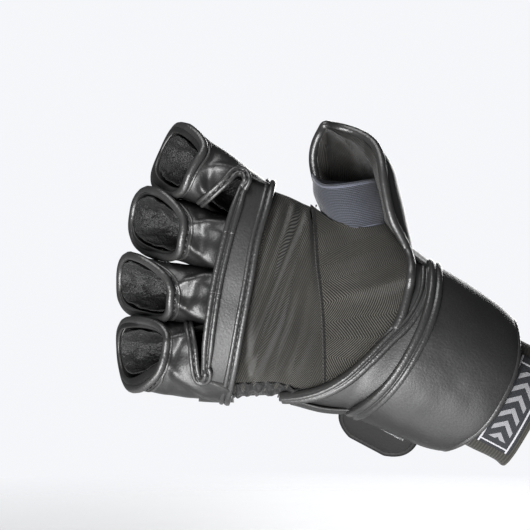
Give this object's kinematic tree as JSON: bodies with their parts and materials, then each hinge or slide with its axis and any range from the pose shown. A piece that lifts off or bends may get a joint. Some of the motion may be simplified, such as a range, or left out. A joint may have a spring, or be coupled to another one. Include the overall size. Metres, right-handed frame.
{
  "type": "hybrid mma glove",
  "caption": "Open-palm hybrid MMA glove for the right hand: padded finger sleeves, thumb shield with elastic loop, cloth palm and padded hook-and-loop wrist strap.",
  "frame": {"origin": "centre of the wrist opening, on the axis of the elastic wrist band at its rear edge", "axes": "+X from the fingers towards the wrist, +Y out of the back of the hand (the palm faces -Y), +Z to the thumb side"},
  "size_m": [0.2218, 0.0694, 0.1715],
  "materials": {
    "leather": "satin",
    "piping": "satin",
    "foam": "matte",
    "palm_cloth": "matte",
    "lining": "matte",
    "loop_elastic": "matte",
    "wrist_elastic": "matte",
    "hook_and_loop": "matte",
    "label": "satin"
  },
  "bodies": {
    "hand": {"back_shell": "leather", "back_lining": "lining", "knuckle_foam": "foam", "hand_foam": "foam", "palm_band": "leather", "palm_band_front_binding": "piping", "palm_band_rear_binding": "piping", "side_gusset": "lining", "palm_wrap_front": "palm_cloth", "palm_wrap_thumb": "palm_cloth", "palm_seam": "palm_cloth", "heel_panel": "leather", "heel_binding": "piping", "wrist_band": "wrist_elastic", "wrist_label": "label", "cuff_back": "leather", "loop_tape": "hook_and_loop", "strap_rear_binding": "piping", "strap_front_binding": "piping", "strap_cover": "leather", "strap_foam": "foam"},
    "strap_tail": {"tail_rear_binding": "piping", "tail_front_binding": "piping", "tail_cover": "leather", "tail_foam": "foam", "tail_hook_tape": "hook_and_loop"},
    "strap_tab": {"tab_leather": "leather", "tab_hook_tape": "hook_and_loop"},
    "thumb": {"thumb_shield": "leather", "thumb_foam": "foam", "thumb_lining": "lining", "thumb_binding": "piping", "thumb_loop": "loop_elastic"},
    "index_finger": {"index_sleeve": "leather", "index_foam": "foam", "index_lining": "lining", "index_piping": "piping"},
    "middle_finger": {"middle_sleeve": "leather", "middle_foam": "foam", "middle_lining": "lining", "middle_piping": "piping"},
    "ring_finger": {"ring_sleeve": "leather", "ring_foam": "foam", "ring_lining": "lining", "ring_piping": "piping"},
    "pinky_finger": {"pinky_sleeve": "leather", "pinky_foam": "foam", "pinky_lining": "lining", "pinky_piping": "piping"}
  },
  "joints": [
    {"name": "index_flex", "type": "hinge", "parent": "hand", "child": "index_finger", "pos_m": [-0.14246, 0, 0.10625], "axis": [0.4879, 0, 0.8729], "range_deg": [0, 40], "stiffness_Nm_per_rad": 0.05},
    {"name": "middle_flex", "type": "hinge", "parent": "hand", "child": "middle_finger", "pos_m": [-0.14716, 0, 0.08272], "axis": [0.2807, 0, 0.9598], "range_deg": [0, 40], "stiffness_Nm_per_rad": 0.05},
    {"name": "ring_flex", "type": "hinge", "parent": "hand", "child": "ring_finger", "pos_m": [-0.15245, 0, 0.05624], "axis": [0.1478, 0, 0.989], "range_deg": [0, 40], "stiffness_Nm_per_rad": 0.05},
    {"name": "pinky_flex", "type": "hinge", "parent": "hand", "child": "pinky_finger", "pos_m": [-0.15754, 0, 0.03075], "axis": [-0.0227, 0, 0.9997], "range_deg": [0, 40], "stiffness_Nm_per_rad": 0.05},
    {"name": "thumb_flex", "type": "hinge", "parent": "hand", "child": "thumb", "pos_m": [-0.0845, 0, 0.084], "axis": [0.9703, 0, 0.2419], "range_deg": [-10, 25], "stiffness_Nm_per_rad": 0.05},
    {"name": "tail_open", "type": "hinge", "parent": "hand", "child": "strap_tail", "pos_m": [-0.05071, 0.00025, 0.07566], "axis": [0.7946, 0, -0.6071], "range_deg": [0, 100]},
    {"name": "tab_lift", "type": "hinge", "parent": "strap_tail", "child": "strap_tab", "pos_m": [-0.06992, 0.0129, -0.00156], "axis": [0.8829, 0, -0.4695], "range_deg": [0, 60]}
  ]
}
